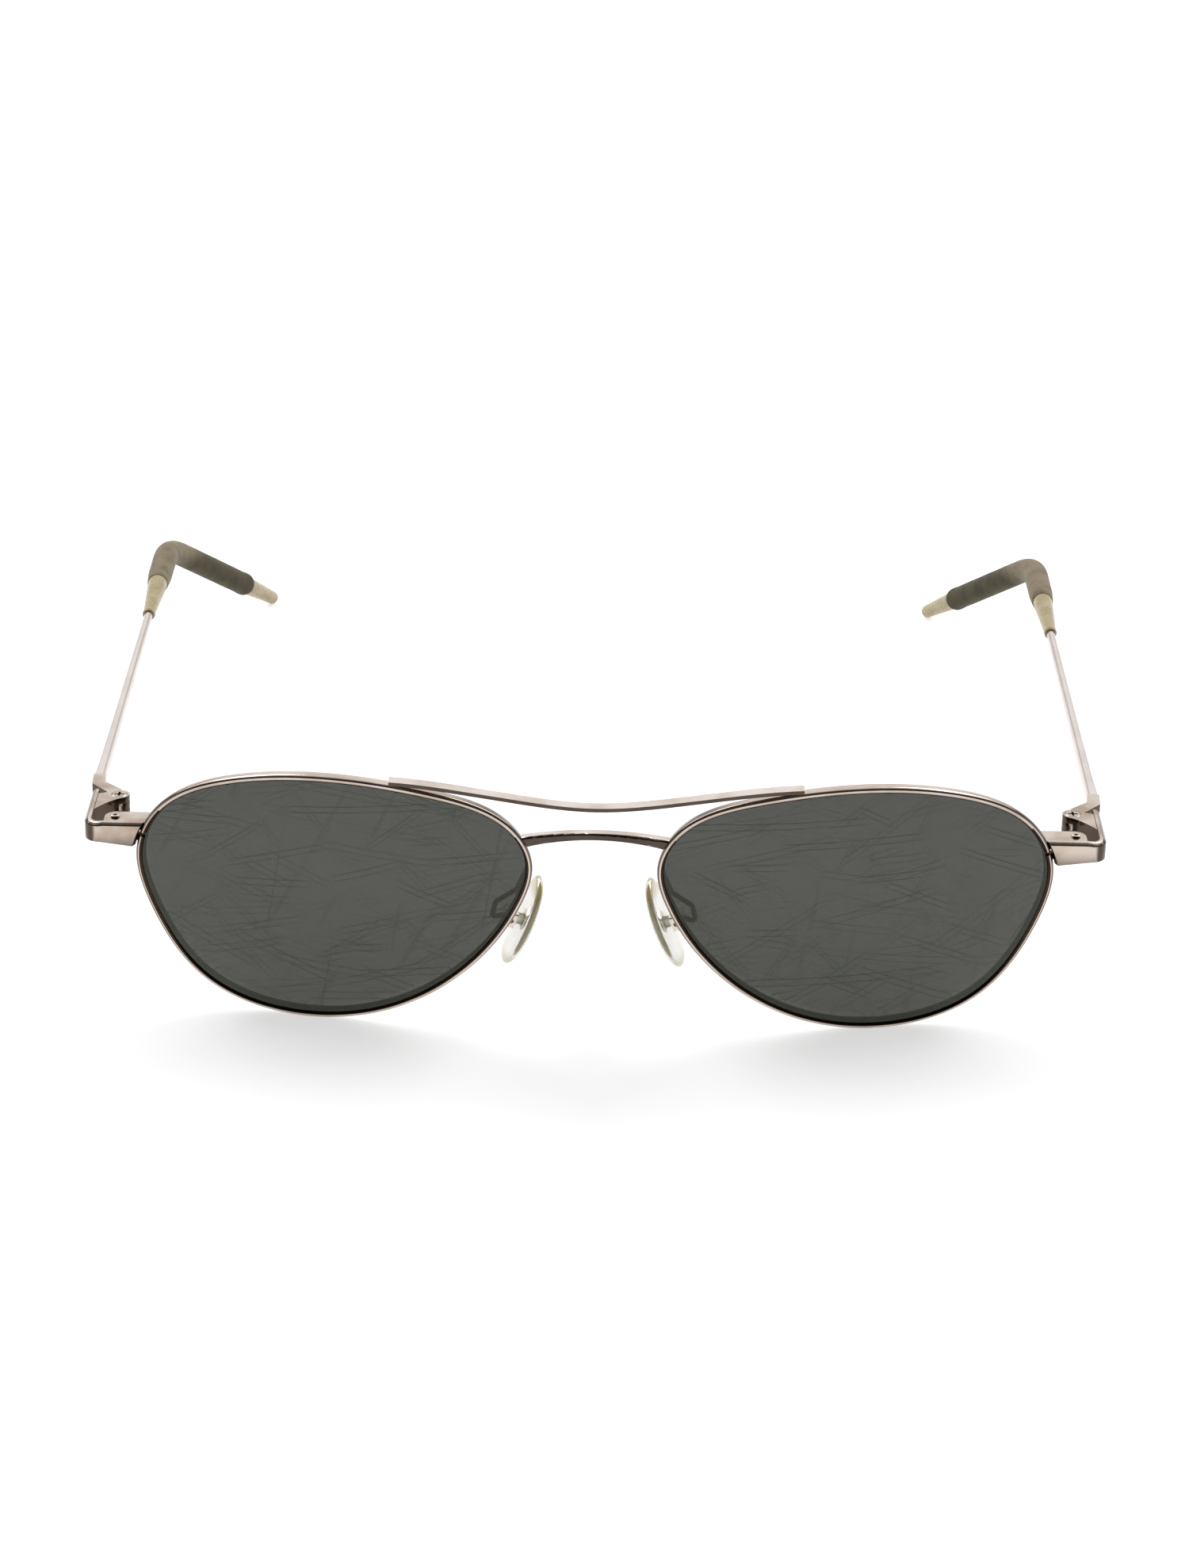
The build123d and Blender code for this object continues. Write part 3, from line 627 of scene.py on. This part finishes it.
# How wide each piece's edges are broken, in mm.
EDGE_BREAKS = {
    "endpiece": 0.11, "closing_block_upper": 0.09, "closing_block_lower": 0.07,
    "hinge_leaf_front": 0.06, "hinge_leaf_temple": 0.08,
}
for kind, width in EDGE_BREAKS.items():
    for side in SIDES:
        body = f"temple_{side}" if kind == "hinge_leaf_temple" else "front"
        rounded(f"{kind}_{side}", f"{kind}_worn_{side}", width, body, metal)
rounded("brow_bar", "brow_bar_worn", 0.09, "front", brow_metal)

# ---- temples ------------------------------------------------------------------------------------
DROP = Vector((-14.3, 33.0, -21.0))
along_drop = DROP.normalized()
BEND_ANGLE = Vector((0, 1, 0)).angle(along_drop)
BEND_AXIS = Vector((0, 1, 0)).cross(along_drop).normalized()
TANGENT = BEND_RADIUS * sin(BEND_ANGLE / 2) / cos(BEND_ANGLE / 2)
corner = Vector((HINGE_X / MM + TEMPLE_X, BEND_AT, 0))
ARC = BEND_RADIUS * BEND_ANGLE
STRAIGHT = BEND_AT - TANGENT


def signed_power(value, power):
    """A power of the value's size, with the value's sign."""
    return abs(value) ** power * (1 if value >= 0 else -1)


def temple_place(distance):
    """Where the temple's centre line is at a distance along it, and how far it has turned."""
    if distance <= STRAIGHT:
        return Vector((corner.x, distance, 0)), 0.0
    if distance >= STRAIGHT + ARC:
        return corner + along_drop * (TANGENT + distance - STRAIGHT - ARC), BEND_ANGLE
    turned = (distance - STRAIGHT) / BEND_RADIUS
    inwards = BEND_AXIS.cross(Vector((0, 1, 0)))
    return (
        Vector((corner.x, STRAIGHT, 0)) + Vector((0, 1, 0)) * BEND_RADIUS * sin(turned)
        + inwards * BEND_RADIUS * (1 - cos(turned)), turned,
    )


def temple_ring(distance, wide, tall, power, count=32):
    """A ring round the centre line: a rounded rectangle, or a circle where the power is 2."""
    middle, turned = temple_place(distance)
    spin = Matrix.Rotation(turned, 3, BEND_AXIS)
    ring = []
    for i in range(count):
        a = -2 * pi * i / count
        x = signed_power(cos(a), 2 / power) * wide / 2
        z = signed_power(sin(a), 2 / power) * tall / 2
        ring.append((middle + spin @ Vector((x, 0, z))) * MM)
    return ring


def eased(table, at):
    """The values between the rows of a table, changing evenly from each row to the next."""
    for (a, *first), (b, *second) in zip(table, table[1:]):
        if at <= b:
            share = min(1, max(0, (at - a) / (b - a)))
            return [x + (y - x) * share for x, y in zip(first, second)]
    return list(table[-1][1:])


def path_of(drop_distance):
    """A distance past the corner, as a distance along the temple."""
    return STRAIGHT + ARC + drop_distance - TANGENT


# The wire's rows: distance along it, width, height, and the power that squares its section.
WIRE_TABLE = [
    (7.5, 1.65, 2.4, 4.0), (14, 1.45, 2.1, 3.6), (30, 1.35, 1.8, 3.0),
    (68, 1.3, 1.3, 2.0), (84, 1.3, 1.3, 2.0),
]
WIRE_STEP, WIRE_RINGS = 0.9, 86
wire_stops = [WIRE_TABLE[0][0] + WIRE_STEP * i for i in range(WIRE_RINGS)]
points, faces = tube([temple_ring(at, *eased(WIRE_TABLE, at)) for at in wire_stops])
make_pair(
    "temple_drawn", points, faces, temple_metal, "temple", "temple_wire", hinge_frame,
    sharp=50,
)

SLEEVE_FROM, SLEEVE_TO = 85.7, path_of(29.7)
TIP_LONG = path_of(DROP.length)
TIP_NOSE_LONG, TIP_NOSE_RADIUS, TIP_NOSE_RINGS = 1.1, 1.08, 9
# The tip's rows: distance along the temple and radius. Its front end is a small collar round the wire.
TIP_TABLE = [
    (72.0, 0.74), (72.12, 0.92), (72.5, 0.99), (73.1, 0.97), (73.5, 0.93), (85.2, 1.5), (SLEEVE_TO, 1.5),
    (TIP_LONG - TIP_NOSE_LONG, TIP_NOSE_RADIUS),
]
tip_stops = [72.0, 72.12, 72.3, 72.5, 72.8, 73.1, 73.5]
tip_stops += [74 + 1.4 * i for i in range(8)] + [85.2, 86.5, 90, 94]
tip_stops += [STRAIGHT + ARC * i / 10 for i in range(11)] + [path_of(8 + 2.6 * i) for i in range(9)]
tip_stops += [path_of(30.5 + 1.2 * i) for i in range(8)]


def round_ring(at, radius, count=32):
    return temple_ring(at, 2 * radius, 2 * radius, 2.0, count)


tip_rings = [round_ring(at, eased(TIP_TABLE, at)[0]) for at in sorted(tip_stops) if at < TIP_LONG - 1.15]
for i in range(TIP_NOSE_RINGS):
    angle = pi / 2 * i / (TIP_NOSE_RINGS - 0.6)
    place = TIP_LONG - TIP_NOSE_LONG + TIP_NOSE_RADIUS * sin(angle)
    tip_rings.append(round_ring(place, TIP_NOSE_RADIUS * cos(angle)))
points, faces = tube(tip_rings)
make_pair("tip_turned", points, faces, acetate, "temple", "temple_tip", hinge_frame, sharp=50)

# The sleeve's rows: distance along the temple and radius.
SLEEVE_TABLE = [
    (SLEEVE_FROM, 1.56), (SLEEVE_FROM + 0.15, 1.66), (SLEEVE_FROM + 3.5, 1.86), (SLEEVE_FROM + 9, 1.88),
    (SLEEVE_TO - 6, 1.86), (SLEEVE_TO - 2.4, 1.84), (SLEEVE_TO - 1.5, 1.9), (SLEEVE_TO - 0.6, 1.89),
    (SLEEVE_TO - 0.2, 1.8), (SLEEVE_TO, 1.62),
]
SLEEVE_STEP, SLEEVE_BORE, SLEEVE_RIPPLE, SLEEVE_COUNT = 1.05, 1.51, 0.006, 40
between = int((SLEEVE_TO - SLEEVE_FROM - 3) / SLEEVE_STEP)
sleeve_stops = sorted(
    [row[0] for row in SLEEVE_TABLE] + [SLEEVE_FROM + 1 + i * SLEEVE_STEP for i in range(between)]
)


def sleeve_radius(at):
    """The sleeve's radius, with the slight unevenness of stretched rubber."""
    return eased(SLEEVE_TABLE, at)[0] - SLEEVE_RIPPLE * (1 + sin(at * 0.9))


sleeve_outside = [round_ring(at, sleeve_radius(at), SLEEVE_COUNT) for at in sleeve_stops]
sleeve_inside = [round_ring(at, SLEEVE_BORE, SLEEVE_COUNT) for at in reversed(sleeve_stops)]
points, faces = tube(sleeve_outside + sleeve_inside, closed=True)
make_pair(
    "sleeve_stretched", points, faces, sleeve_rubber, "temple", "tip_sleeve", hinge_frame,
    sharp=50,
)

# ---- nose pads ----------------------------------------------------------------------------------
PAD_HALF_LONG, PAD_HALF_WIDE = 7.2, 3.7
PAD_RINGS, PAD_COUNT = 14, 56
PAD_OUT, PAD_IN, PAD_MIDDLE = 0.82, -0.74, -0.18        # the pad's two faces and its middle, in mm
PAD_BOW, PAD_FLATNESS = 0.42, 6


def pad_skin(share, angle, outer):
    """A point on the pad: share runs from the middle of a face to its edge."""
    z = PAD_HALF_LONG * share * signed_power(cos(angle), 0.82)
    y = PAD_HALF_WIDE * share * signed_power(sin(angle), 0.90)
    crown = (1 - share**PAD_FLATNESS) ** 0.5
    bent = PAD_BOW * (z / PAD_HALF_LONG) ** 2
    return Vector(((PAD_MIDDLE + bent + (PAD_OUT if outer else PAD_IN) * crown) * MM, y * MM, z * MM))


pad_rings = []
pad_shares = [sin(pi / 2 * (i + 0.6) / PAD_RINGS) for i in range(PAD_RINGS)] + [1.0]
for outer, shares in ((False, pad_shares), (True, pad_shares[-2::-1])):
    for share in shares:
        pad_rings.append([pad_skin(share, 2 * pi * j / PAD_COUNT, outer) for j in range(PAD_COUNT)])
points, faces = tube(pad_rings)
make_pair("pad_moulded", points, faces, silicone, "pad", "nose_pad", pad_frame, sharp=60)

# ---- floor --------------------------------------------------------------------------------------
FLOOR_HALF = 4.0
FLOOR_WHITE, FLOOR_GLOW = 0.55, 0.60        # a pale sheet lit from below as well, so shadows stay light
floor_mesh = bpy.data.meshes.new("floor")
corners = [(x * FLOOR_HALF, y * FLOOR_HALF, 0) for x, y in ((-1, -1), (1, -1), (1, 1), (-1, 1))]
floor_mesh.from_pydata(corners, [], [(0, 1, 2, 3)])
floor = bpy.data.objects.new("floor", floor_mesh)
bpy.context.scene.collection.objects.link(floor)
paper = Nodes("paper")
floor_mesh.materials.append(paper.set(
    Base_Color=(FLOOR_WHITE, FLOOR_WHITE, FLOOR_WHITE, 1), Roughness=0.9, Specular_IOR_Level=0.0,
    Emission_Color=(1, 1, 1, 1), Emission_Strength=FLOOR_GLOW,
))
